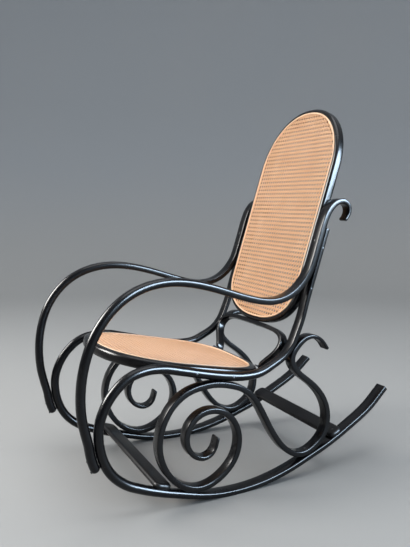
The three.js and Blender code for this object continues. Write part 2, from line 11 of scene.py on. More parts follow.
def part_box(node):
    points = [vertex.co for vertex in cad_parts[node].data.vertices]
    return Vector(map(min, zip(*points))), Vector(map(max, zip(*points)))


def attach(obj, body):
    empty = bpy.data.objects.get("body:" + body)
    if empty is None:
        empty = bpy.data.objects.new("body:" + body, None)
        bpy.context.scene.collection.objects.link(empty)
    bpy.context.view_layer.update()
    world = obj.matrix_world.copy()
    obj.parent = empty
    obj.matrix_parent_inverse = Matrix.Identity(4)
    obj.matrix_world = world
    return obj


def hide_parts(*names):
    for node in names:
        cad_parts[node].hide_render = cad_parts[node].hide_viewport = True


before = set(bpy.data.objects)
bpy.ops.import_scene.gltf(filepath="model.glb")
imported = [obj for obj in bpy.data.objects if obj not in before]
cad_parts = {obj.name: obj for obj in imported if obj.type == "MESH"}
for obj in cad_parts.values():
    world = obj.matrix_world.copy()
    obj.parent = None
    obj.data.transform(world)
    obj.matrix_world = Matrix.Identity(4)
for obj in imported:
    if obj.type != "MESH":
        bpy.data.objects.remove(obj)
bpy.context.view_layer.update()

bl_info = {
    "name": "Bentwood rocking chair",
    "version": (1, 0, 0),
    "blender": (4, 5, 0),
    "location": "View3D > Sidebar > Rocking chair",
    "description": "Dresses the rocking chair's frame in bent rods, woven cane and lacquer",
    "category": "Object",
}

MM = 0.001

# Sizes shared with the part, in millimetres until they are scaled
SIDE_LENGTH = 920 * MM
POST_HEIGHT = 704 * MM
HALF_SPACING = 218 * MM
TOE_IN_SHARE = 0.0418
FRAME_ROUND = 25 * MM
RUNNER_FLAT = (38 * MM, 15 * MM)
POST_FLAT = (32 * MM, 13 * MM)
ARM_ROUND = 24 * MM
ARM_FLAT = (34 * MM, 17 * MM)
ARM_TIP = (30 * MM, 9 * MM)
ARM_BOW = 14 * MM
SCROLL_FLAT = (32 * MM, 16 * MM)
SCROLL_TIP = (34 * MM, 9 * MM)
CONTACT_GAP = 0.35 * MM

SEAT_LENGTH = 475 * MM
SEAT_MIDDLE_Y_SHARE = -0.1848
SEAT_MIDDLE_HEIGHT = 354.5 * MM
SEAT_HEIGHT_SHARE = 0.50355
SEAT_SLOPE_SHARE = 0.2021
SEAT_RING = (42 * MM, 28 * MM)
SEAT_RIM = 19 * MM
SEAT_SIDE_GAP = 0.8 * MM
SEAT_SQUARE_SHARES = (2.4, 3.5)

BACK_HALF_WIDTH = 197 * MM
BACK_LENGTH = 670 * MM
BACK_LIFT = 65.5 * MM
BACK_SEAT_Y_SHARE = 0.0926
BACK_POST_Y_SHARE = 0.2128
BACK_RISES = (190 * MM, 126 * MM)
BACK_FRAME = (26 * MM, 28 * MM)
BACK_RIM = 12 * MM
BACK_SQUARE_SHARES = (2.1, 2.3)
POST_SEAT = 17 * MM

CANE_THICKNESS = 1.2 * MM
SPLINE_WIDTH = 5 * MM
SPLINE_HEIGHT = 3 * MM
RIM_RISE = 2 * MM

HOOP_SECTION = (26 * MM, 13 * MM)
HOOP_HALF_WIDTH = 182 * MM
HOOP_FOOT_SPREAD = 132 * MM
HOOP_FOOT_INSET = 1.7 * MM
HOOP_FOOT_DROP = 6.8 * MM

STRETCHER_THICKNESS = 15 * MM
STRETCHER_WIDTHS = {"front": 48 * MM, "rear": 44 * MM}
STRETCHER_SHARES = {"front": 0.3355, "rear": 0.0708}
STRETCHER_HOUSING = 2 * MM
SCREW_HEAD_HEIGHT = 3 * MM

# Where the rods turn in to the back and change their section, as shares
POST_TURN_SHARES = (0.52, 0.66)
ARM_TURN_SHARES = (0.55, 0.95)
RUNNER_FLAT_SHARES = (0.2361, 0.375)
POST_FLAT_SHARES = (0.7639, 0.875)
ARM_FLAT_SHARES = (0.2667, 0.7556)
ARM_TIP_SHARE = 0.1556
ARM_BOW_SHARE = 0.6452
SCROLL_TIP_SHARE = 0.1

# The rods' points, as shares of the side's length and the post's height
RUNNER_SHARES = [
    (0.489, 0.3), (0.42, 0.221), (0.335, 0.157), (0.257, 0.107), (0.177, 0.067), (0.105, 0.0345),
    (0.033, 0.0122), (-0.033, 0.0016), (-0.083, 0), (-0.136, 0.0035), (-0.193, 0.0145),
    (-0.25, 0.032), (-0.31, 0.053), (-0.364, 0.0775),
]
RAIL_SHARES = [
    (-0.413, 0.1264), (-0.451, 0.172), (-0.474, 0.227), (-0.485, 0.291), (-0.484, 0.352),
    (-0.468, 0.412), (-0.44, 0.4645), (-0.4, 0.5055), (-0.353, 0.5225), (-0.304, 0.521),
    (-0.245, 0.503), (-0.179, 0.481), (-0.114, 0.4625), (-0.049, 0.4505), (0.005, 0.4545),
    (0.052, 0.48), (0.09, 0.51), (0.116, 0.55), (0.133, 0.597), (0.149, 0.65),
]
POST_SHARES = [0.716, 0.858, 1]
ARM_FOOT_SHARES = [0.436, 0.4475, 0.459, 0.4705]
ARM_SHARES = [
    (-0.5139, 0.2989), (-0.5223, 0.3436), (-0.5294, 0.3901), (-0.5323, 0.4329),
    (-0.5323, 0.4761), (-0.5295, 0.5199), (-0.5242, 0.56), (-0.5165, 0.5982), (-0.5057, 0.6378),
    (-0.4919, 0.6739), (-0.4732, 0.7102), (-0.4501, 0.7441), (-0.4228, 0.7737),
    (-0.3931, 0.7962), (-0.363, 0.8115), (-0.329, 0.8218), (-0.293, 0.8261), (-0.256, 0.8241),
    (-0.22, 0.8171), (-0.1859, 0.8071), (-0.1521, 0.7947), (-0.1139, 0.7783), (-0.065, 0.7571),
    (-0.0301, 0.7436), (0.005, 0.7328), (0.0411, 0.7278), (0.076, 0.7326), (0.1077, 0.7485),
    (0.1342, 0.7731), (0.1562, 0.804), (0.1737, 0.8397),
]
ARM_RISER_SHARES = [0.88, 0.95, 1.02]
ARM_CURL_SHARES = [
    (0.2315, 1.056), (0.247, 1.084), (0.268, 1.1025), (0.292, 1.105), (0.309, 1.089),
    (0.3125, 1.065), (0.306, 1.045), (0.296, 1.03),
]
INNER_LOOP_SHARES = [
    (-0.1391, 0.2373), (-0.1499, 0.1943), (-0.165, 0.1748), (-0.1864, 0.1693), (-0.2126, 0.1833),
    (-0.2318, 0.2148), (-0.2378, 0.2487), (-0.2339, 0.2803), (-0.2221, 0.3074),
    (-0.2049, 0.3274), (-0.1848, 0.3392), (-0.1624, 0.343), (-0.1383, 0.3382), (-0.1121, 0.322),
    (-0.0853, 0.2843), (-0.0709, 0.2333), (-0.0718, 0.1821), (-0.0844, 0.1401), (-0.1067, 0.105),
    (-0.1374, 0.0762), (-0.1683, 0.06), (-0.1954, 0.0559),
]
LOOP_SEAT_SHARE = 0.2933
OUTER_LOOP_SHARES = [
    (-0.2432, 0.0744), (-0.2627, 0.091), (-0.2802, 0.1126), (-0.2957, 0.1399), (-0.3081, 0.1714),
    (-0.3163, 0.2053), (-0.3195, 0.243), (-0.3164, 0.2847), (-0.3052, 0.3298), (-0.2858, 0.372),
    (-0.2652, 0.3991), (-0.2405, 0.4198), (-0.2111, 0.4331), (-0.1607, 0.4399),
]
RAIL_SEAT_SHARE = 0.717
SWEEP_SHARES = [
    (-0.097, 0.426), (-0.067, 0.4116), (-0.0405, 0.3904), (-0.0187, 0.3615), (0.0021, 0.3197),
    (0.0179, 0.282), (0.041, 0.2261), (0.0638, 0.1794), (0.0885, 0.1415), (0.1206, 0.1103),
    (0.1494, 0.0983),
]
TURN_SEAT_SHARE = 0.109
RISE_SHARES = [
    (0.205, 0.1193), (0.2249, 0.1394), (0.2386, 0.162), (0.2492, 0.1956), (0.2518, 0.2437),
    (0.2433, 0.2889), (0.2239, 0.3333), (0.1943, 0.3755), (0.1656, 0.4055), (0.142, 0.4303),
    (0.1195, 0.4652), (0.1143, 0.4948),
]
POST_SEAT_SHARE = 0.85
SCROLL_CURL_SHARES = [
    (0.1345, 0.5417), (0.1479, 0.5571), (0.1647, 0.5694), (0.1832, 0.5739), (0.2043, 0.5686),
    (0.2252, 0.5503), (0.2462, 0.5152),
]
HOOP_ARCH_SHARES = [
    (0.735, 0.1), (0.8, 0.225), (0.885, 0.36), (0.96, 0.5), (1, 0.65), (0.985, 0.79),
    (0.905, 0.895), (0.77, 0.96), (0.58, 0.988), (0.38, 0.996),
]

# Roundings: the two ends of each rod, the least share of its edges' radius that the ends keep,
# the frames' inner edges and the reed
ROCKER_ENDS = (2 * MM, 2 * MM)
ARM_ENDS = (10 * MM, 3 * MM)
SCROLL_ENDS = (3 * MM, 3 * MM)
HOOP_ENDS = (0.5 * MM, 0.5 * MM)
LEAST_EDGE_SHARE = 0.25
RIM_EDGE = 1 * MM
LEDGE_EDGE = 2 * MM
INNER_EDGE = 5 * MM
REED_EDGE = 1.9 * MM

# The cut that trims the hoop's feet: degrees round the seat ring, and how far it leans out
HOOP_TRIM_TURN = 15
HOOP_TRIM_LEAN = 0.12

# The weave: the diagonals' deeper wave, a strand's narrower skin side, the shade in its dips, and
# what sets one strand's grain and tan apart from the next one's
DIAGONAL_WAVE_SHARE = 1.35
STRAND_TOP_SHARE = 0.3
SUNK_SHADE = 0.72
GRAIN_SHIFT = 0.37
STRAND_HASH = (12.9898, 43758.5453)

# The slot's depth as a share of a screw's dome
SLOT_DEPTH_SHARE = 0.4

# Faces, stations and tolerances of the modelled pieces
STEPS_PER_PITCH = 6
SCREW_SIDES = 24
DOME_STEPS = 6
COVE_ARC_STEPS = 12
ROD_SIDES = 24
END_STATIONS = 5
LENGTHS_PER_SPAN = 24
OUTLINE_STEPS = 192
ROUNDING_SEGMENTS = 5
MERGE_DISTANCE = 0.01 * MM
CUT_DISTANCE = 0.001 * MM
PARALLEL = 1e-12

# Sides and directions
SIDES = {"left": 1, "right": -1}
ALONG_X = Vector((1, 0, 0))
ALONG_Y = Vector((0, 1, 0))
ALONG_Z = Vector((0, 0, 1))
ORIGIN = Vector((0, 0, 0))

# The studio: the backdrop's sweep as shares of its radius, and each lamp's place, size and colour
COVE_SWEEP_SHARE = 0.35
COVE_HEIGHT_SHARE = 0.8
LAMPS = {
    "front_window": ((-0.9, -3.0, 2.1), (1.7, 1.3), (1.0, 0.985, 0.96)),
    "side_window": ((3.0, 2.2, 1.3), (0.9, 1.9), (0.72, 0.86, 1.0)),
    "ceiling": ((0.4, 0.0, 3.6), (2.6, 2.6), (0.96, 0.98, 1.0)),
    "front_shine": ((-1.3, -2.7, 2.2), (2.0, 1.6), (1.0, 0.98, 0.95)),
    "side_shine": ((3.0, 1.7, 1.6), (2.6, 1.5), (0.62, 0.80, 1.0)),
}
LAMP_AIM = Vector((0, 0, 0.45))
ROOM_COLOUR = (0.80, 0.84, 0.90, 1)
PAPER_MOTTLE = (0.40, 0.40, 0.40)

# The photograph's viewpoint, fitted to the chair's own proportions
PICTURE_HEIGHT = 547
FOCAL_PIXELS = 621.05
CAMERA_PLACE = (1.6226, -0.8108, 0.7768)
CAMERA_LOOKS_DOWN = 6.634
CAMERA_TURN = 64.284


def mix(low, high, share):
    return low + (high - low) * share


def smooth_step(value, low, high):
    share = min(1, max(0, (value - low) / (high - low)))
    return share * share * (3 - 2 * share)


# Side frames lie in upright planes that close in towards the back
def side_x(y):
    return HALF_SPACING - TOE_IN_SHARE * y


def height_at(share):
    if share < SEAT_HEIGHT_SHARE:
        return SEAT_MIDDLE_HEIGHT * share / SEAT_HEIGHT_SHARE
    above = (share - SEAT_HEIGHT_SHARE) / (1 - SEAT_HEIGHT_SHARE)
    return mix(SEAT_MIDDLE_HEIGHT, POST_HEIGHT, above)


SEAT_MIDDLE_Y = SEAT_MIDDLE_Y_SHARE * SIDE_LENGTH
BACK_BOTTOM_HEIGHT = SEAT_MIDDLE_HEIGHT + BACK_LIFT
BACK_LEAN = (BACK_POST_Y_SHARE - BACK_SEAT_Y_SHARE) * SIDE_LENGTH
BACK_SLOPE = BACK_LEAN / (POST_HEIGHT - SEAT_MIDDLE_HEIGHT)
SLOPE_LENGTH = math.hypot(1, BACK_SLOPE)


def back_y(z):
    return BACK_SEAT_Y_SHARE * SIDE_LENGTH + BACK_SLOPE * (z - SEAT_MIDDLE_HEIGHT)


# The part is set down with its box on the origin: the seat's cane sheet tells how far that moved it
def leaning(angle, place):
    return Matrix.Translation(place) @ Matrix.Rotation(angle, 4, "X")


SEAT_MIDDLE = Vector((0, SEAT_MIDDLE_Y, SEAT_MIDDLE_HEIGHT))
UNSET_SEAT_PLANE = leaning(-math.atan(SEAT_SLOPE_SHARE), SEAT_MIDDLE)
CANE_LOW, CANE_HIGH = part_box("seat_cane")
SET_DOWN = (CANE_LOW + CANE_HIGH) / 2 - UNSET_SEAT_PLANE @ Vector((0, 0, -CANE_THICKNESS / 2))
SET_DOWN.x = 0
SEAT_PLANE = Matrix.Translation(SET_DOWN) @ UNSET_SEAT_PLANE
BACK_FOOT = Vector((0, back_y(BACK_BOTTOM_HEIGHT), BACK_BOTTOM_HEIGHT))
BACK_PLANE = Matrix.Translation(SET_DOWN) @ leaning(math.pi / 2 - math.atan(BACK_SLOPE), BACK_FOOT)


def centripetal_span(before, start, end, after):
    """The four terms of the cubic between two points, which doesn't loop where points are close."""
    pairs = ((before, start), (start, end), (end, after))
    gap_in, gap, gap_out = ((b - a).length ** 0.5 for a, b in pairs)
    step = end - start
    leave = (start - before) / gap_in - (end - before) / (gap_in + gap) + step / gap
    arrive = step / gap - (after - start) / (gap + gap_out) + (after - end) / gap_out
    leave *= gap
    arrive *= gap
    return start, leave, 3 * step - 2 * leave - arrive, -2 * step + leave + arrive


class BentRod:
    """A rod's middle line, its section at each share of its points, and the frame square to it."""

    def __init__(self, points, section, across=ALONG_X):
        ring = [2 * points[0] - points[1], *points, 2 * points[-1] - points[-2]]
        self.spans = [centripetal_span(*ring[i:i + 4]) for i in range(len(points) - 1)]
        self.section = section
        self.across = across

    def terms(self, share):
        where = share * len(self.spans)
        index = min(int(where), len(self.spans) - 1)
        return self.spans[index], where - index

    def place(self, share):
        (a, b, c, d), t = self.terms(share)
        return a + t * (b + t * (c + t * d))

    def frame(self, share):
        (_, b, c, d), t = self.terms(share)
        heading = b + t * (2 * c + 3 * t * d)
        along = (heading - heading.dot(self.across) * self.across).normalized()
        return self.place(share), along, along.cross(self.across)

    def beside(self, share, facing, distance):
        place, _, out = self.frame(share)
        return place + facing * (self.section(share)[1] + CONTACT_GAP + distance) * out

    def lengths(self):
        """Shares of the points with the length of rod up to each."""
        count = len(self.spans) * LENGTHS_PER_SPAN
        shares = [i / count for i in range(count + 1)]
        places = [self.place(share) for share in shares]
        total = [0]
        for a, b in zip(places, places[1:]):
            total.append(total[-1] + (b - a).length)
        return shares, total


def rod_section(round_size, flat, flat_share):
    """Half width, half thickness and edge radius of a rod that is planed from round to flat."""
    half_width = mix(round_size, flat[0], flat_share) / 2
    half_thickness = mix(round_size, flat[1], flat_share) / 2
    edge = mix(round_size / 2, sizes().flat_edge, flat_share)
    return half_width, half_thickness, min(edge, half_width, half_thickness)


def rocker_section(share):
    rear = 1 - smooth_step(share, *RUNNER_FLAT_SHARES)
    post = smooth_step(share, *POST_FLAT_SHARES)
    if post > 0:
        return rod_section(FRAME_ROUND, POST_FLAT, post)
    return rod_section(FRAME_ROUND, RUNNER_FLAT, rear)


def rocker_rod(side):
    spans = len(RUNNER_SHARES) + len(RAIL_SHARES) + len(POST_SHARES) - 1
    post_x = BACK_HALF_WIDTH + CONTACT_GAP + POST_FLAT[0] / 2
    points = []
    for i, (y_share, z_share) in enumerate(RUNNER_SHARES):
        y = y_share * SIDE_LENGTH
        z = height_at(z_share) + rocker_section(i / spans)[1]
        points.append(Vector((side * side_x(y), y, z)))
    for y_share, z_share in RAIL_SHARES:
        y = y_share * SIDE_LENGTH
        rise = smooth_step(z_share, *POST_TURN_SHARES) if y_share > 0 else 0
        points.append(Vector((side * mix(side_x(y), post_x, rise), y, height_at(z_share))))
    for share in POST_SHARES:
        z = height_at(share)
        points.append(Vector((side * post_x, back_y(z) + POST_SEAT * SLOPE_LENGTH, z)))
    return BentRod(points, rocker_section)


def arm_section(share):
    tip = smooth_step(share, 1 - ARM_TIP_SHARE, 1)
    flat = (mix(ARM_FLAT[0], ARM_TIP[0], tip), mix(ARM_FLAT[1], ARM_TIP[1], tip))
    return rod_section(ARM_ROUND, flat, smooth_step(share, *ARM_FLAT_SHARES))


def arm_rod(side, rocker):
    arm_x = BACK_HALF_WIDTH + CONTACT_GAP + ARM_FLAT[0] / 2
    seat = POST_SEAT - POST_FLAT[1] / 2 - CONTACT_GAP - ARM_FLAT[1] / 2
    points = [rocker.beside(share, -1, ARM_ROUND / 2) for share in ARM_FOOT_SHARES]
    for i, (y_share, z_share) in enumerate(ARM_SHARES):
        y = y_share * SIDE_LENGTH
        rise = smooth_step(i / (len(ARM_SHARES) - 1), *ARM_TURN_SHARES)
        bowed = min(1, (i + 1) / len(ARM_SHARES) / ARM_BOW_SHARE)
        x = mix(side_x(y), arm_x, rise) + ARM_BOW * math.sin(math.pi * bowed) ** 2
        points.append(Vector((side * x, y, height_at(z_share))))
    for share in ARM_RISER_SHARES:
        z = height_at(share)
        points.append(Vector((side * arm_x, back_y(z) + seat * SLOPE_LENGTH, z)))
    for y_share, z_share in ARM_CURL_SHARES:
        points.append(Vector((side * arm_x, y_share * SIDE_LENGTH, height_at(z_share))))
    return BentRod(points, arm_section)


def scroll_section(share):
    inner = 1 - smooth_step(share, 0, SCROLL_TIP_SHARE)
    outer = smooth_step(share, 1 - SCROLL_TIP_SHARE, 1)
    tip = max(inner, outer)
    flat = (mix(SCROLL_FLAT[0], SCROLL_TIP[0], tip), mix(SCROLL_FLAT[1], SCROLL_TIP[1], tip))
    return rod_section(flat[0], flat, 1)


def scroll_rod(side, rocker):
    def free(table):
        spots = [(y * SIDE_LENGTH, height_at(z)) for y, z in table]
        return [Vector((side * side_x(y), y, z)) for y, z in spots]

    def seated(share):
        return [rocker.beside(share, 1, SCROLL_FLAT[1] / 2)]

    points = [
        *free(INNER_LOOP_SHARES), *seated(LOOP_SEAT_SHARE),
        *free(OUTER_LOOP_SHARES), *seated(RAIL_SEAT_SHARE),
        *free(SWEEP_SHARES), *seated(TURN_SEAT_SHARE),
        *free(RISE_SHARES), *seated(POST_SEAT_SHARE),
        *free(SCROLL_CURL_SHARES),
    ]
    return BentRod(points, scroll_section)


def hoop_rod():
    foot = UNSET_SEAT_PLANE @ Vector((0, SEAT_LENGTH / 2 - HOOP_FOOT_INSET, -HOOP_FOOT_DROP))
    under = Vector((0, 0, RIM_RISE - BACK_FRAME[1] / 2))
    top = Matrix.Translation(-SET_DOWN) @ BACK_PLANE @ under
    up = (top - foot).normalized()
    rise = (top - foot).length - HOOP_SECTION[1] / 2 - CONTACT_GAP
    middle = top - up * (HOOP_SECTION[1] / 2 + CONTACT_GAP)
    rising = [(HOOP_FOOT_SPREAD / HOOP_HALF_WIDTH, 0), *HOOP_ARCH_SHARES]

    def place(x_share, up_share):
        point = middle + up * (up_share - 1) * rise
        return Vector((x_share * HOOP_HALF_WIDTH, point.y, point.z))

    points = [place(-x, v) for x, v in rising] + [place(0, 1)]
    points += [place(x, v) for x, v in rising[::-1]]
    section = rod_section(HOOP_SECTION[0], HOOP_SECTION, 1)
    return BentRod(points, lambda _: section, ALONG_X.cross(up))


# Outlines of the seat and the back, drawn in by an inset
def end_point(angle, half_width, rise, square):
    power = 2 / square
    across = math.copysign(half_width * abs(math.cos(angle)) ** power, math.cos(angle))
    return Vector((across, math.copysign(rise * abs(math.sin(angle)) ** power, math.sin(angle)), 0))


def seat_outline(angle, inset):
    half_width = side_x(SEAT_MIDDLE_Y) - FRAME_ROUND / 2 - SEAT_SIDE_GAP
    square = SEAT_SQUARE_SHARES[0] if math.sin(angle) < 0 else SEAT_SQUARE_SHARES[1]
    point = end_point(angle, half_width - inset, SEAT_LENGTH / 2 - inset, square)
    point.x *= 1 - TOE_IN_SHARE * point.y / half_width
    return point


def back_outline(angle, inset):
    """Two rounded ends, with the straight sides as the steps from one end to the other."""
    top = math.sin(angle) >= 0
    end = 0 if top else 1
    rise, square = BACK_RISES[end], BACK_SQUARE_SHARES[end]
    point = end_point(angle, BACK_HALF_WIDTH - inset, rise - inset, square)
    point.y += BACK_LENGTH - BACK_RISES[0] if top else BACK_RISES[1]
    return point


# The caned frames: outline, plane, rim outside the cane, section and CAD node
CANED_FRAMES = {
    "seat": (seat_outline, SEAT_PLANE, SEAT_RIM, SEAT_RING, "seat_ring"),
    "back": (back_outline, BACK_PLANE, BACK_RIM, BACK_FRAME, "back_frame"),
}


def edge_distance(line_point, line_way, outline, inset):
    """How far a straight line runs both ways before it leaves a convex outline."""
    low, high = -math.inf, math.inf
    ring = [outline(2 * math.pi * (i + 0.5) / OUTLINE_STEPS, inset) for i in range(OUTLINE_STEPS)]
    for a, b in zip(ring, ring[1:] + ring[:1]):
        edge = b - a
        outward = Vector((edge.y, -edge.x, 0))
        speed = outward.dot(line_way)
        room = outward.dot(a - line_point)
        if abs(speed) < PARALLEL:
            if room < 0:
                return None
        elif speed > 0:
            high = min(high, room / speed)
        else:
            low = max(low, room / speed)
    return (low, high) if high > low else None


class Cell:
    """A shader's socket, on which Python's signs add Math nodes."""

    def __init__(self, finish, socket):
        self.finish = finish
        self.socket = socket

    def sum_up(self, operation, first, second=0.0):
        return self.finish.node("ShaderNodeMath", {"operation": operation}, {0: first, 1: second})

    def __add__(self, other):
        return self.sum_up("ADD", self, other)

    def __radd__(self, other):
        return self.sum_up("ADD", other, self)

    def __sub__(self, other):
        return self.sum_up("SUBTRACT", self, other)

    def __rsub__(self, other):
        return self.sum_up("SUBTRACT", other, self)

    def __mul__(self, other):
        return self.sum_up("MULTIPLY", self, other)

    def __rmul__(self, other):
        return self.sum_up("MULTIPLY", other, self)

    def rise(self, low, high):
        """Nothing below low, all above high, and smooth between."""
        sockets = {"Value": self, "From Min": low, "From Max": high}
        return self.finish.node("ShaderNodeMapRange", {"interpolation_type": "SMOOTHSTEP"}, sockets)


class Finish:
    """One material: every node comes from its type, its settings and its sockets."""

    def __init__(self, name):
        self.material = bpy.data.materials.new(name)
        self.material.use_nodes = True
        self.tree = self.material.node_tree
        self.tree.nodes.clear()

    def node(self, kind, settings=None, sockets=None, output=0):
        made = self.tree.nodes.new(kind)
        for key, value in (settings or {}).items():
            setattr(made, key, value)
        for key, value in (sockets or {}).items():
            if isinstance(value, Cell):
                self.tree.links.new(value.socket, made.inputs[key])
            else:
                made.inputs[key].default_value = value
        return Cell(self, made.outputs[output]) if made.outputs else None

    def attribute(self, name):
        return self.node("ShaderNodeAttribute", {"attribute_name": name}, output="Fac")

    def blend(self, share, first, second):
        first, second = (c if isinstance(c, Cell) else (*c, 1) for c in (first, second))
        sockets = {"Factor": share, 6: first, 7: second}
        return self.node("ShaderNodeMix", {"data_type": "RGBA"}, sockets, output=2)

    def place(self):
        return self.node("ShaderNodeTexCoord", output="Object")

    def along(self):
        return self.node("ShaderNodeUVMap", {"uv_map": "along"})

    def stretched(self, vector, scale):
        return self.node("ShaderNodeMapping", {}, {"Vector": vector, "Scale": scale})

    def noise(self, vector, scale, detail=3.0, roughness=0.55):
        sockets = {"Vector": vector, "Scale": scale, "Detail": detail, "Roughness": roughness}
        return self.node("ShaderNodeTexNoise", {}, sockets)

    def bump(self, height, strength, distance):
        sockets = {"Height": height, "Strength": strength, "Distance": distance}
        return self.node("ShaderNodeBump", {}, sockets)

    def surface(self, sockets):
        shader = self.node("ShaderNodeBsdfPrincipled", {}, sockets)
        self.node("ShaderNodeOutputMaterial", {}, {"Surface": shader})
        return self.material


def black_lacquer(name, gloss, warmth):
    """Black spirit lacquer on stained beech, with faint grain, an uneven sheen and small chips."""
    finish = Finish(name)
    colours = tints()
    place = finish.place()
    grain = finish.noise(finish.stretched(finish.along(), (14, 900, 1)), 1.0, 4.0, 0.6)
    clouds = finish.noise(place, 7.0, 2.0)
    fine = finish.noise(place, 210.0, 2.0)
    rubbed = finish.noise(place, 120.0, 3.0, 0.6)
    chips = rubbed.rise(0.735, 0.75)
    brown = (clouds.rise(0.42, 0.7) * 0.55 + warmth) * grain.rise(0.3, 0.75)
    base = finish.blend(brown, colours.lacquer, colours.stain)
    worn = finish.blend(chips * 0.55, base, colours.bare_wood)
    roughness = gloss + clouds.rise(0.3, 0.75) * 0.08 + fine * 0.05 + chips * 0.2
    height = grain * 0.5 + fine * 0.3 - chips
    return finish.surface({
        "Base Color": worn,
        "Roughness": roughness,
        "IOR": 1.45,
        "Specular IOR Level": 0.22,
        "Coat Weight": 0.16,
        "Coat Roughness": 0.1,
        "Normal": finish.bump(height, 0.25, 0.0004),
    })


def woven_cane(name):
    """Split rattan: each strand its own tan, fine fibres along it, darker cut edges, and painted
    shade on the lower flanks and where strands dip under the others.
    """
    finish = Finish(name)
    colours = tints()
    strand = finish.attribute("strand")
    # The edge attribute carries the strands' darker cut edges together with painted shade on their
    # lower flanks and in the weave's dips.
    edge = finish.attribute("edge").rise(0.1, 0.75)
    fibres = finish.noise(finish.stretched(finish.along(), (60, 5200, 1)), 1.0, 3.0, 0.65)
    place = finish.place()
    patches = finish.noise(place, 16.0, 3.0)
    shade = strand * 0.5 + patches.rise(0.35, 0.7) * 0.3 + fibres.rise(0.35, 0.75) * 0.3
    base = finish.blend(shade, colours.cane, colours.cane_shade)
    # Blends in the edge colour, which also paints the shade on the flanks and in the dips.
    edge_and_painted_shade = finish.blend(edge * 0.95, base, colours.cane_edge_and_shade)
    return finish.surface({
        "Base Color": edge_and_painted_shade,
        "Roughness": 0.42 + fibres * 0.25,
        "IOR": 1.5,
        "Specular IOR Level": 0.3,
        "Coat Weight": 0.04,
        "Coat Roughness": 0.25,
        "Normal": finish.bump(fibres, 0.35, 0.0002),
    })


def split_reed(name):
    """The pale reed that is driven into the groove over the cane's edge."""
    finish = Finish(name)
    colours = tints()
    place = finish.place()
    fibres = finish.noise(finish.stretched(finish.along(), (25, 2600, 1)), 1.0, 3.0, 0.6)
    patches = finish.noise(place, 24.0, 2.0)
    shade = patches.rise(0.4, 0.7) * 0.5 + fibres * 0.3
    base = finish.blend(shade, colours.reed, colours.cane)
    return finish.surface({
        "Base Color": base,
        "Roughness": 0.45 + fibres * 0.2,
        "IOR": 1.48,
        "Normal": finish.bump(fibres, 0.3, 0.0002),
    })


def blackened_steel(name):
    """Screw heads painted over with the chair, bright where a driver has slipped."""
    finish = Finish(name)
    colours = tints()
    place = finish.place()
    worn = finish.noise(place, 420.0, 3.0, 0.6)
    scratches = worn.rise(0.62, 0.7)
    return finish.surface({
        "Base Color": finish.blend(scratches, colours.lacquer, colours.steel),
        "Roughness": 0.34 + worn * 0.2,
        "Metallic": scratches * 0.8,
        "IOR": 1.5,
        "Normal": finish.bump(worn, 0.2, 0.0002),
    })


def studio_paper(name):
    """Matt paper, paler at the floor, faintly mottled."""
    finish = Finish(name)
    colours = tints()
    place = finish.place()
    clouds = finish.noise(place, 1.1, 4.0, 0.6)
    height = finish.node("ShaderNodeSeparateXYZ", {}, {"Vector": place}, output="Z")
    tone = finish.blend(height.rise(0.0, 1.3), colours.floor, colours.backdrop)
    mottled = finish.blend(clouds.rise(0.35, 0.75) * 0.16, tone, PAPER_MOTTLE)
    return finish.surface({"Base Color": mottled, "Roughness": 0.9, "Specular IOR Level": 0.2})


# Each finish with its slot, its maker, and the lacquers' gloss and warmth
FINISHES = {
    "black_lacquer": ("lacquered_wood", black_lacquer, 0.2, 0.05),
    "worn_board_lacquer": ("lacquered_wood", black_lacquer, 0.4, 0.35),
    "woven_cane": ("cane", woven_cane),
    "split_reed": ("reed", split_reed),
    "blackened_steel": ("screws", blackened_steel),
    "studio_paper": (None, studio_paper),
}


def finished(name):
    """The material of that name, made the first time that it is asked for."""
    _, maker, *settings = FINISHES[name]
    return bpy.data.materials.get(name) or maker(name, *settings)


def everything(bm):
    return bm.faces[:] + bm.edges[:] + bm.verts[:]


def draw_out(bm, way, steps, apart=False):
    """Steps the whole shape along a way, joined up or set out side by side."""
    bmesh.ops.spin(
        bm, geom=everything(bm), cent=ORIGIN, axis=ALONG_Z, dvec=way, angle=0, steps=steps,
        use_duplicate=apart)


def open_profile(spots):
    """A mesh of corners in an upright plane, each joined to the next."""
    bm = bmesh.new()
    verts = [bm.verts.new((x, 0, z)) for x, z in spots]
    for a, b in zip(verts, verts[1:]):
        bm.edges.new((a, b))
    return bm


def turn_round(bm, steps):
    """Spins a profile once round the upright axis."""
    bmesh.ops.spin(
        bm, geom=bm.verts[:] + bm.edges[:], cent=ORIGIN, axis=ALONG_Z, dvec=ORIGIN,
        angle=2 * math.pi, steps=steps, use_merge=True, use_duplicate=False)


def corner_angles(face):
    """The angle of each corner round the upright axis, unbroken where a full turn ends."""
    middle = face.calc_center_median()
    centre = math.atan2(middle.y, middle.x)
    for loop in face.loops:
        angle = math.atan2(loop.vert.co.y, loop.vert.co.x) - centre
        yield loop, (angle + math.pi) % (2 * math.pi) - math.pi + centre


def made_object(name, bm, finish):
    """The mesh as a smooth object in that finish, with its faces turned outwards."""
    bmesh.ops.recalc_face_normals(bm, faces=bm.faces[:])
    mesh = bpy.data.meshes.new(name)
    bm.to_mesh(mesh)
    bm.free()
    mesh.shade_smooth()
    mesh.materials.append(finished(finish))
    made = bpy.data.objects.new(name, mesh)
    bpy.context.scene.collection.objects.link(made)
    return made


def add_piece(name, bm, finish, *nodes):
    """Makes the mesh an object that rides on the chair and stands for its CAD nodes."""
    piece = made_object(name, bm, finish)
    piece.data.set_sharp_from_angle(angle=sizes().sharp_angle)
    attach(piece, "root")
    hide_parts(*nodes)
    return piece


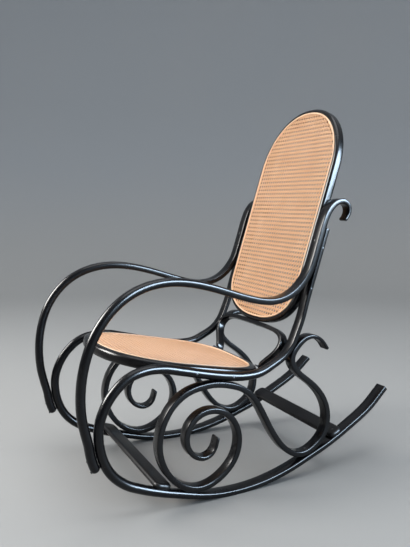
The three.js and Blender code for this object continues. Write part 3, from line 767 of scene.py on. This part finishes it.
def stations(rod, start_rounding, end_rounding):
    """Shares along a rod, evenly spread and closer at its ends, each with its inset and length."""
    shares, lengths = rod.lengths()
    whole = lengths[-1]
    spots = []
    turns = [math.pi / 2 * i / END_STATIONS for i in range(END_STATIONS)]
    for turn in turns:
        spots.append((start_rounding * (1 - math.cos(turn)), start_rounding * (1 - math.sin(turn))))
    inner = whole - start_rounding - end_rounding
    count = max(2, round(inner / sizes().rod_step))
    for i in range(count + 1):
        spots.append((start_rounding + inner * i / count, 0))
    for turn in reversed(turns):
        short = end_rounding * (1 - math.cos(turn))
        spots.append((whole - short, end_rounding * (1 - math.sin(turn))))
    spread = numpy.interp([length for length, _ in spots], lengths, shares)
    return [(float(share), inset, length) for share, (length, inset) in zip(spread, spots)]


def rod_mesh(rod, start_rounding, end_rounding):
    """A straight round bar, drawn out by steps, then bent onto the rod's line and planed."""
    steps = stations(rod, start_rounding, end_rounding)
    bm = bmesh.new()
    bmesh.ops.create_circle(bm, cap_ends=True, segments=ROD_SIDES, radius=1)
    half_side = Matrix.Rotation(math.pi / ROD_SIDES, 3, "Z")
    bmesh.ops.rotate(bm, verts=bm.verts[:], cent=ORIGIN, matrix=half_side)
    draw_out(bm, ALONG_Z, len(steps) - 1)
    along = bm.loops.layers.uv.new("along")
    perimeter = 2 * sum(rod.section(0.5)[:2])
    for face in bm.faces:
        for loop, angle in corner_angles(face):
            length = steps[round(loop.vert.co.z)][2]
            loop[along].uv = (length, angle / math.pi * perimeter)
    frames = [rod.frame(share) for share, _, _ in steps]
    sections = [rod.section(share) for share, _, _ in steps]
    for vert in bm.verts:
        index = round(vert.co.z)
        place, _, out = frames[index]
        inset = steps[index][1]
        half_width, half_thickness, edge = sections[index]
        edge = max(edge - inset, edge * LEAST_EDGE_SHARE)
        angle = math.atan2(vert.co.y, vert.co.x)
        across = math.copysign(half_width - inset - edge, vert.co.x) + edge * math.cos(angle)
        outward = math.copysign(half_thickness - inset - edge, vert.co.y) + edge * math.sin(angle)
        vert.co = place + across * rod.across + outward * out + SET_DOWN
    return bm


def side_rods():
    """The three bent rods of each side, by the side's name."""
    rods = {}
    for word, side in SIDES.items():
        rocker = rocker_rod(side)
        arm, scroll = arm_rod(side, rocker), scroll_rod(side, rocker)
        rods[word] = {"rocker": rocker, "arm": arm, "scroll": scroll}
    return rods


def ring_mesh(outline, profile, plane):
    """A closed profile of insets and heights, spun once round and drawn onto an outline."""
    bm = bmesh.new()
    verts = [bm.verts.new((1 - inset, 0, height)) for inset, height, _ in profile]
    bm.faces.new(verts)
    for radius in sorted({radius for _, _, radius in profile if radius}):
        bm.verts.ensure_lookup_table()
        corners = [v for v, (_, _, r) in zip(verts, profile) if r == radius]
        bmesh.ops.bevel(
            bm, geom=corners, affect="VERTICES", offset=radius, offset_type="OFFSET",
            segments=ROUNDING_SEGMENTS, profile=0.5, material=-1)
    bmesh.ops.delete(bm, geom=bm.faces[:], context="FACES_ONLY")
    tree, lengths, whole = profile_lengths(bm)
    turn_round(bm, OUTLINE_STEPS)
    along = bm.loops.layers.uv.new("along")
    for face in bm.faces:
        rounds = [lengths[tree.find(profile_spot(loop.vert.co))[1]] for loop in face.loops]
        for (loop, angle), length in zip(corner_angles(face), rounds):
            if max(rounds) - length > whole / 2:
                length += whole
            loop[along].uv = (angle * SEAT_LENGTH / 2, length)
    for vert in bm.verts:
        inset = 1 - math.hypot(vert.co.x, vert.co.y)
        angle = math.atan2(vert.co.y, vert.co.x)
        flat = outline(angle, inset)
        vert.co = plane @ Vector((flat.x, flat.y, vert.co.z))
    return bm


def profile_spot(place):
    return Vector((math.hypot(place.x, place.y), place.z, 0))


def profile_lengths(bm):
    """The length round a closed profile at each of its corners, and a tree that finds a corner."""
    here = bm.verts[:][0]
    edge = here.link_edges[0]
    spots, lengths = [], []
    total = 0
    for _ in range(len(bm.verts)):
        spots.append(profile_spot(here.co))
        lengths.append(total)
        total += edge.calc_length()
        here = edge.other_vert(here)
        edge = next(e for e in here.link_edges if e != edge)
    tree = KDTree(len(spots))
    for i, spot in enumerate(spots):
        tree.insert(spot, i)
    tree.balance()
    return tree, lengths, total


def frame_profile(ring, rim, outer_radius):
    """A frame's section: rounded outside, with the ledge that carries the cane inside its rim."""
    width, thickness = ring
    ledge = -CANE_THICKNESS - CONTACT_GAP
    bottom = RIM_RISE - thickness
    return [
        (0, RIM_RISE, outer_radius), (rim, RIM_RISE, RIM_EDGE), (rim, ledge, 0),
        (width, ledge, LEDGE_EDGE), (width, bottom, INNER_EDGE), (0, bottom, outer_radius),
    ]


def weave_height(family, x, y, pitch):
    """How high a strand lies in the sheet, for each of the four ways that strands run."""
    turn = 2 * math.pi / pitch
    wave = sizes().strand_wave
    if family == "upright":
        return wave * math.sin(turn * y)
    if family == "level":
        return wave * math.sin(turn * x)
    return wave * DIAGONAL_WAVE_SHARE * math.cos(turn * x)


def strand_lines(family, outline, inset):
    """Each strand of one way: its side in the pair, a point on it, and its two ends."""
    pitch = sizes().cane_pitch
    pair = sizes().pair_gap
    way, step, offsets = {
        "upright": (Vector((0, 1, 0)), Vector((pitch, 0, 0)), (-pair, pair)),
        "level": (Vector((1, 0, 0)), Vector((0, pitch, 0)), (-pair, pair)),
        "rising": (Vector((1, 1, 0)).normalized(), Vector((pitch, 0, 0)), (pitch / 2,)),
        "falling": (Vector((1, -1, 0)).normalized(), Vector((pitch, 0, 0)), (pitch / 2,)),
    }[family]
    reach = math.ceil(2 * BACK_LENGTH / pitch)
    lines = []
    for i in range(-reach, reach + 1):
        for offset in offsets:
            point = step * i + step.normalized() * offset
            ends = edge_distance(point, way, outline, inset)
            if ends and ends[1] - ends[0] > pitch / 2:
                lines.append((math.copysign(1, offset), point, way, ends))
    return lines


def straight_strands(count, steps):
    """Strands side by side, each one unit from the next, with the skin side up."""
    width = sizes().strand_width
    skin = STRAND_TOP_SHARE * width
    high = sizes().strand_thickness / 2
    corners = [(-width / 2, -high), (width / 2, -high), (skin, high), (-skin, high)]
    bm = bmesh.new()
    bm.faces.new([bm.verts.new((x, 0, z)) for x, z in corners])
    draw_out(bm, ALONG_Y, steps)
    draw_out(bm, ALONG_X, count - 1, apart=True)
    return bm


def strands_mesh(family, outline, inset, plane):
    """Straight strands, each laid along its line, over and under the others."""
    pitch = sizes().cane_pitch
    lines = strand_lines(family, outline, inset)
    longest = max(ends[1] - ends[0] for _, _, _, ends in lines)
    stretch = 1 if family in ("upright", "level") else 2 ** 0.5
    steps = math.ceil(longest / (pitch / STEPS_PER_PITCH) / stretch)
    bm = straight_strands(len(lines), steps)
    along = bm.loops.layers.uv.new("along")
    strand = bm.verts.layers.float.new("strand")
    # The edge layer holds painted shade: full on the lower flanks, and growing with depth where a
    # strand dips under the others.
    edge = bm.loops.layers.float.new("edge")
    for face in bm.faces:
        is_flank = len({vert.co.z < 0 for vert in face.verts}) == 2
        for loop in face.loops:
            spot = loop.vert.co
            index = round(spot.x)
            length = mix(*lines[index][3], spot.y / steps)
            loop[along].uv = (length + index * GRAIN_SHIFT, spot.x - index)
            # Painted shade on the lower half of each flank, where a strand's side lies in shadow.
            loop[edge] = 1 if is_flank and spot.z < 0 else 0
    sign = -1 if family in ("upright", "rising") else 1
    deepest = sizes().strand_wave * DIAGONAL_WAVE_SHARE
    for vert in bm.verts:
        index = round(vert.co.x)
        facing, point, way, ends = lines[index]
        spot = point + way * mix(*ends, vert.co.y / steps)
        height = sign * facing * weave_height(family, spot.x, spot.y, pitch)
        spot += Vector((way.y, -way.x, 0)) * (vert.co.x - index)
        spread = math.sin(index * STRAND_HASH[0] + len(family)) * STRAND_HASH[1]
        vert[strand] = math.modf(abs(spread))[0]
        # Painted shade that deepens as a strand dips beneath the others, read from whichever face
        # of the sheet the corner is on.
        sunk = 0.5 - height / (2 * deepest)
        if vert.co.z < 0:
            sunk = 1 - sunk
        for loop in vert.link_loops:
            loop[edge] = max(loop[edge], sunk * SUNK_SHADE)
        vert.co = plane @ Vector((spot.x, spot.y, height + vert.co.z - CANE_THICKNESS / 2))
    return bm


def spline_profile(edge):
    """A half-round reed, its flat side down on the cane."""
    low = -CANE_THICKNESS / 4
    high = CONTACT_GAP + SPLINE_HEIGHT
    return [
        (edge, low, 0), (edge, high, REED_EDGE),
        (edge + SPLINE_WIDTH, high, REED_EDGE), (edge + SPLINE_WIDTH, low, 0),
    ]


def board_mesh(rod, share, width):
    """A stretcher board: sawn flat, its ends rounded over and every edge eased."""
    place, way, out = rod.frame(share)
    half_width, half_thickness, _ = rod.section(share)
    length = 2 * (side_x(place.y) + half_width)
    rise = half_thickness - STRETCHER_HOUSING + CONTACT_GAP + STRETCHER_THICKNESS / 2
    middle = place + out * rise + SET_DOWN
    middle.x = 0
    bm = bmesh.new()
    bmesh.ops.create_cube(bm, size=1)
    bmesh.ops.scale(bm, verts=bm.verts[:], vec=(length, width, STRETCHER_THICKNESS))
    for upright, radius in ((True, sizes().board_corner), (False, sizes().board_edge)):
        edges = [e for e in bm.edges if (abs(e.verts[0].co.z - e.verts[1].co.z) > MM) == upright]
        bmesh.ops.bevel(
            bm, geom=edges, affect="EDGES", offset=radius, offset_type="OFFSET",
            segments=ROUNDING_SEGMENTS, profile=0.5, material=-1)
    along = bm.loops.layers.uv.new("along")
    for face in bm.faces:
        for loop in face.loops:
            spot = loop.vert.co
            loop[along].uv = (spot.x, spot.y + spot.z)
    turn = Matrix((ALONG_X, way, -out)).transposed().to_4x4()
    bmesh.ops.transform(bm, matrix=Matrix.Translation(middle) @ turn, verts=bm.verts[:])
    return bm


def screw_axis(name):
    """A CAD screw's head end, the way its head looks, and its whole length."""
    points = numpy.array([v.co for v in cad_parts[name].data.vertices])
    points = numpy.unique(points.round(7), axis=0)
    middle = (points.min(axis=0) + points.max(axis=0)) / 2
    way = numpy.linalg.svd(points - points.mean(axis=0))[2][0]
    reach = (points - middle) @ way
    spread = numpy.linalg.norm(points - middle - numpy.outer(reach, way), axis=1)
    if reach[numpy.argmax(spread)] < 0:
        way, reach = -way, -reach
    centre = points[numpy.argmax(reach)]
    return Vector(centre), Vector(way), float(reach.max() - reach.min())


def screw_mesh(name):
    """A domed screw head with its slot, and the shank below it."""
    top, way, length = screw_axis(name)
    radius = sizes().screw_head
    dome = sizes().screw_dome
    shank = sizes().screw_shank
    ball = (radius ** 2 + dome ** 2) / (2 * dome)
    arc = math.asin(radius / ball)
    turns = [arc * i / DOME_STEPS for i in range(DOME_STEPS + 1)]
    foot = SCREW_HEAD_HEIGHT - dome - length
    bm = open_profile([
        *((ball * math.sin(turn), ball * math.cos(turn) - ball) for turn in turns),
        (shank, -dome), (shank, foot), (0, foot),
    ])
    turn_round(bm, SCREW_SIDES)
    bmesh.ops.remove_doubles(bm, verts=bm.verts[:], dist=MERGE_DISTANCE)
    half_slot = sizes().screw_slot / 2
    for side in (-1, 1):
        bmesh.ops.bisect_plane(
            bm, geom=everything(bm), dist=CUT_DISTANCE,
            plane_co=(0, side * half_slot, 0), plane_no=(0, side, 0))
    slot = []
    for face in bm.faces:
        middle = face.calc_center_median()
        if abs(middle.y) < half_slot and middle.z > -dome and face.normal.z != 0:
            slot.append(face)
    cut = bmesh.ops.extrude_face_region(bm, geom=slot)
    sunk = [v for v in cut["geom"] if isinstance(v, bmesh.types.BMVert)]
    bmesh.ops.delete(bm, geom=slot, context="FACES_ONLY")
    bmesh.ops.translate(bm, verts=sunk, vec=(0, 0, -dome * SLOT_DEPTH_SHARE))
    turn = way.to_track_quat("Z", "Y").to_matrix().to_4x4()
    lowered = top - way * (CONTACT_GAP + SCREW_HEAD_HEIGHT - dome + sizes().screw_sink)
    bmesh.ops.transform(bm, matrix=Matrix.Translation(lowered) @ turn, verts=bm.verts[:])
    return bm


def size_setting(name, description, default, low=0):
    """A length that a user may change, given in millimetres."""
    return FloatProperty(
        name=name, description=description, default=default * MM, min=low * MM, unit="LENGTH")


def colour_setting(name, description, default):
    return FloatVectorProperty(name=name, description=description, subtype="COLOR", default=default)


def light_setting(name, description, default):
    return FloatProperty(name=name, description=description, default=default, min=0)


class ChairSizes(bpy.types.PropertyGroup):
    """Sizes of the details that the dressed chair adds to its frame."""

    rod_step: size_setting("Rod step", "Length of rod between two rings of its mesh", 5, 1)
    flat_edge: size_setting(
        "Flat edge", "Radius of the eased edges where a rod is planed flat", 3.4)
    sharp_angle: FloatProperty(
        name="Sharp angle", description="Edges that turn by more than this stay crisp",
        default=math.radians(58), subtype="ANGLE")
    frame_edge: size_setting(
        "Frame edge", "Radius of the outer edges of the seat ring and back frame", 8.6)
    cane_pitch: size_setting("Cane pitch", "Distance between two pairs of strands", 12.7, 6)
    pair_gap: size_setting(
        "Half pair", "From the middle of a pair to the middle of one strand", 1.8)
    strand_width: size_setting("Strand width", "Width of one strand of cane", 3.2, 0.5)
    strand_thickness: size_setting("Strand thickness", "Thickness of one strand of cane", 1.6, 0.1)
    strand_wave: size_setting(
        "Strand wave", "How far a strand rises and falls as it passes the others", 0.65)
    board_corner: size_setting(
        "Board corner", "Radius of a stretcher's corners, seen from above", 16)
    board_edge: size_setting("Board edge", "Radius of a stretcher's eased edges", 7.0)
    screw_head: size_setting("Screw head", "Radius of a screw's head", 4.2, 1)
    screw_dome: size_setting("Screw dome", "Height of a screw's domed head", 1.6, 0.5)
    screw_sink: size_setting("Screw sink", "How far a screw's head is sunk into the wood", 0.5)
    screw_shank: size_setting("Screw shank", "Radius of a screw's shank", 2.2, 0.5)
    screw_slot: size_setting("Screw slot", "Width of the slot in a screw's head", 1.2, 0.2)


class ChairColours(bpy.types.PropertyGroup):
    """Colours of the chair's finishes and of the studio."""

    lacquer: colour_setting("Lacquer", "Black lacquer on the bent rods", (0.0024, 0.0024, 0.0036))
    stain: colour_setting(
        "Stain", "Brown-black stain that shows through thin lacquer", (0.012, 0.0085, 0.0065))
    bare_wood: colour_setting("Bare wood", "Wood in chips and rubbed places", (0.16, 0.075, 0.035))
    cane: colour_setting("Cane", "Skin side of the cane strands", (0.97, 0.585, 0.33))
    # Darker cut edges of the strands, also used as painted shade on their lower flanks and in the
    # weave's dips.
    cane_edge_and_shade: colour_setting(
        "Cane edge", "Cut edges of the strands, where the stain gathers", (0.12, 0.042, 0.014))
    cane_shade: colour_setting("Cane shade", "Darker strands and patches", (0.78, 0.41, 0.19))
    reed: colour_setting("Reed", "Reed over the cane's edge", (0.90, 0.61, 0.39))
    steel: colour_setting("Steel", "Bright scratches on the screw heads", (0.30, 0.29, 0.28))
    floor: colour_setting("Floor", "Studio floor", (0.40, 0.40, 0.39))
    backdrop: colour_setting("Backdrop", "Studio backdrop above the floor", (0.36, 0.38, 0.40))


class StudioSettings(bpy.types.PropertyGroup):
    """Lamps and backdrop of the studio."""

    front_window: light_setting("Front window", "Power of the large soft lamp in front", 84)
    front_shine: light_setting(
        "Front shine", "Power of the front window's reflection in the lacquer", 310)
    side_shine: light_setting(
        "Side shine", "Power of the side window's reflection in the lacquer", 820)
    side_window: light_setting("Side window", "Power of the cool lamp beside the chair", 26)
    ceiling: light_setting("Ceiling", "Power of the soft lamp overhead", 72)
    sky: light_setting("Room light", "Strength of the even light of the room", 0.6)
    cove_radius: FloatProperty(
        name="Cove radius", description="Distance of the backdrop from the chair",
        default=5.2, min=3, unit="LENGTH")
    cove_steps: IntProperty(
        name="Cove steps", description="Steps round the backdrop", default=96, min=12)


def sizes():
    return bpy.context.scene.chair_sizes


def tints():
    return bpy.context.scene.chair_colours


def studio():
    return bpy.context.scene.chair_studio


class CHAIR_OT_side_frames(bpy.types.Operator):
    """Bend the two rocker frames, from runner to post"""

    bl_idname = "chair.side_frames"
    bl_label = "Rocker frames"

    def execute(self, context):
        for word, rods in side_rods().items():
            bm = rod_mesh(rods["rocker"], *ROCKER_ENDS)
            for vert in bm.verts:
                vert.co.z = max(vert.co.z, 0)
            add_piece(f"{word}_bent_rocker", bm, "black_lacquer", f"{word}_rocker_frame")
        return {"FINISHED"}


class CHAIR_OT_arms(bpy.types.Operator):
    """Bend the two arms, with their rounded feet and curled ends"""

    bl_idname = "chair.arms"
    bl_label = "Arms"

    def execute(self, context):
        for word, rods in side_rods().items():
            bm = rod_mesh(rods["arm"], *ARM_ENDS)
            add_piece(f"{word}_bent_arm", bm, "black_lacquer", f"{word}_arm")
        return {"FINISHED"}


class CHAIR_OT_scrolls(bpy.types.Operator):
    """Bend the two side scrolls"""

    bl_idname = "chair.scrolls"
    bl_label = "Scrolls"

    def execute(self, context):
        for word, rods in side_rods().items():
            bm = rod_mesh(rods["scroll"], *SCROLL_ENDS)
            add_piece(f"{word}_bent_scroll", bm, "black_lacquer", f"{word}_scroll")
        return {"FINISHED"}


class CHAIR_OT_hoop(bpy.types.Operator):
    """Bend the hoop between the seat ring and the back frame, and trim its feet to the ring"""

    bl_idname = "chair.hoop"
    bl_label = "Lower back hoop"

    def execute(self, context):
        bm = rod_mesh(hoop_rod(), *HOOP_ENDS)
        for side in (-1, 1):
            edge = seat_outline(math.radians(90 - side * HOOP_TRIM_TURN), -CONTACT_GAP)
            way = SEAT_PLANE.to_3x3() @ Vector((side * HOOP_TRIM_LEAN, 1, 0)).normalized()
            near = [g for g in everything(bm) if self.middle(g).x * side > 0]
            cut = bmesh.ops.bisect_plane(
                bm, geom=near, dist=CUT_DISTANCE, plane_co=SEAT_PLANE @ edge, plane_no=way,
                clear_inner=True)
            rim = [e for e in cut["geom_cut"] if isinstance(e, bmesh.types.BMEdge)]
            bmesh.ops.holes_fill(bm, edges=rim, sides=0)
        add_piece("bent_hoop", bm, "black_lacquer", "lower_back_hoop")
        return {"FINISHED"}

    @staticmethod
    def middle(element):
        if isinstance(element, bmesh.types.BMVert):
            return element.co
        return sum((v.co for v in element.verts), Vector()) / len(element.verts)


class CHAIR_OT_cane_frames(bpy.types.Operator):
    """Shape the seat ring and the back frame, with the ledge that carries the cane"""

    bl_idname = "chair.cane_frames"
    bl_label = "Seat ring and back frame"

    def execute(self, context):
        for outline, plane, rim, section, node in CANED_FRAMES.values():
            bm = ring_mesh(outline, frame_profile(section, rim, sizes().frame_edge), plane)
            add_piece(f"rounded_{node}", bm, "black_lacquer", node)
        return {"FINISHED"}


class CHAIR_OT_cane(bpy.types.Operator):
    """Weave the cane of the seat and the back, strand by strand"""

    bl_idname = "chair.cane"
    bl_label = "Woven cane"

    def execute(self, context):
        for word, (outline, plane, rim, _, _) in CANED_FRAMES.items():
            for family in ("upright", "level", "rising", "falling"):
                bm = strands_mesh(family, outline, rim + CONTACT_GAP, plane)
                add_piece(f"{word}_cane_{family}", bm, "woven_cane", f"{word}_cane")
        return {"FINISHED"}


class CHAIR_OT_splines(bpy.types.Operator):
    """Lay the reed over the edge of both cane sheets"""

    bl_idname = "chair.splines"
    bl_label = "Splines"

    def execute(self, context):
        for word, (outline, plane, rim, _, _) in CANED_FRAMES.items():
            bm = ring_mesh(outline, spline_profile(rim + CONTACT_GAP), plane)
            add_piece(f"{word}_reed", bm, "split_reed", f"{word}_spline")
        return {"FINISHED"}


class CHAIR_OT_stretchers(bpy.types.Operator):
    """Saw and round the two boards that join the runners"""

    bl_idname = "chair.stretchers"
    bl_label = "Stretchers"

    def execute(self, context):
        rocker = rocker_rod(1)
        for word, share in STRETCHER_SHARES.items():
            bm = board_mesh(rocker, share, STRETCHER_WIDTHS[word])
            add_piece(f"{word}_board", bm, "worn_board_lacquer", f"{word}_stretcher")
        return {"FINISHED"}


class CHAIR_OT_screws(bpy.types.Operator):
    """Turn the domed screws that hold the chair together"""

    bl_idname = "chair.screws"
    bl_label = "Screws"

    def execute(self, context):
        for name in sorted(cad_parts):
            if "screw" in name:
                add_piece(f"{name}_turned", screw_mesh(name), "blackened_steel", name)
        return {"FINISHED"}


class CHAIR_OT_stage(bpy.types.Operator):
    """Set up the studio: pale floor and backdrop, soft lamps and the camera"""

    bl_idname = "chair.stage"
    bl_label = "Studio"

    def execute(self, context):
        self.cove()
        settings = studio()
        for name, (place, size, colour) in LAMPS.items():
            self.lamp(name, getattr(settings, name), place, size, colour)
        world = bpy.data.worlds.new("room")
        world.use_nodes = True
        background = world.node_tree.nodes["Background"]
        background.inputs["Color"].default_value = ROOM_COLOUR
        background.inputs["Strength"].default_value = settings.sky
        context.scene.world = world
        self.camera(context)
        context.scene.view_settings.view_transform = "Standard"
        return {"FINISHED"}

    @staticmethod
    def cove():
        """A round floor that sweeps up into a wall on every side."""
        radius = studio().cove_radius
        sweep = radius * COVE_SWEEP_SHARE
        flat = radius - sweep
        profile = [(0, 0), (flat / 2, 0)]
        for i in range(COVE_ARC_STEPS + 1):
            turn = math.pi / 2 * i / COVE_ARC_STEPS
            profile.append((flat + sweep * math.sin(turn), sweep * (1 - math.cos(turn))))
        profile.append((radius, radius * COVE_HEIGHT_SHARE))
        bm = open_profile(profile)
        turn_round(bm, studio().cove_steps)
        bmesh.ops.remove_doubles(bm, verts=bm.verts[:], dist=MM)
        cove = made_object("studio_cove", bm, "studio_paper")

    @staticmethod
    def lamp(name, power, place, size, colour):
        data = bpy.data.lights.new(name, "AREA")
        data.shape = "RECTANGLE"
        data.size, data.size_y = size
        data.energy = power
        data.color = colour
        lamp = bpy.data.objects.new(name, data)
        lamp.location = place
        aim = LAMP_AIM - Vector(place)
        lamp.rotation_euler = aim.to_track_quat("-Z", "Y").to_euler()
        lamp.visible_camera = False
        lamp.visible_diffuse = not name.endswith("_shine")
        bpy.context.scene.collection.objects.link(lamp)

    @staticmethod
    def camera(context):
        """Looks at the chair as the photograph does."""
        data = bpy.data.cameras.new("camera")
        data.sensor_fit = "VERTICAL"
        data.angle = 2 * math.atan(PICTURE_HEIGHT / 2 / FOCAL_PIXELS)
        camera = bpy.data.objects.new("camera", data)
        camera.location = CAMERA_PLACE
        tilt = math.radians(90 - CAMERA_LOOKS_DOWN)
        camera.rotation_euler = (tilt, 0, math.radians(CAMERA_TURN))
        context.scene.collection.objects.link(camera)
        context.scene.camera = camera


PIECE_OPERATORS = [
    CHAIR_OT_side_frames, CHAIR_OT_arms, CHAIR_OT_scrolls, CHAIR_OT_hoop, CHAIR_OT_cane_frames,
    CHAIR_OT_cane, CHAIR_OT_splines, CHAIR_OT_stretchers, CHAIR_OT_screws, CHAIR_OT_stage,
]


class CHAIR_PT_rocking_chair(bpy.types.Panel):
    """Lists the chair's sizes, colours and pieces"""

    bl_label = "Rocking chair"
    bl_space_type = "VIEW_3D"
    bl_region_type = "UI"
    bl_category = "Rocking chair"

    def draw(self, context):
        for group in (sizes(), tints(), studio()):
            box = self.layout.box()
            for name in group.__annotations__:
                box.prop(group, name)
        for operator in PIECE_OPERATORS:
            self.layout.operator(operator.bl_idname)


CLASSES = [ChairSizes, ChairColours, StudioSettings, *PIECE_OPERATORS, CHAIR_PT_rocking_chair]


def register():
    for item in CLASSES:
        bpy.utils.register_class(item)
    bpy.types.Scene.chair_sizes = PointerProperty(type=ChairSizes)
    bpy.types.Scene.chair_colours = PointerProperty(type=ChairColours)
    bpy.types.Scene.chair_studio = PointerProperty(type=StudioSettings)


def unregister():
    del bpy.types.Scene.chair_studio
    del bpy.types.Scene.chair_colours
    del bpy.types.Scene.chair_sizes
    for item in reversed(CLASSES):
        bpy.utils.unregister_class(item)


def main():
    register()
    for operator in PIECE_OPERATORS:
        group, name = operator.bl_idname.split(".")
        getattr(getattr(bpy.ops, group), name)()


if __name__ == "__main__":
    main()
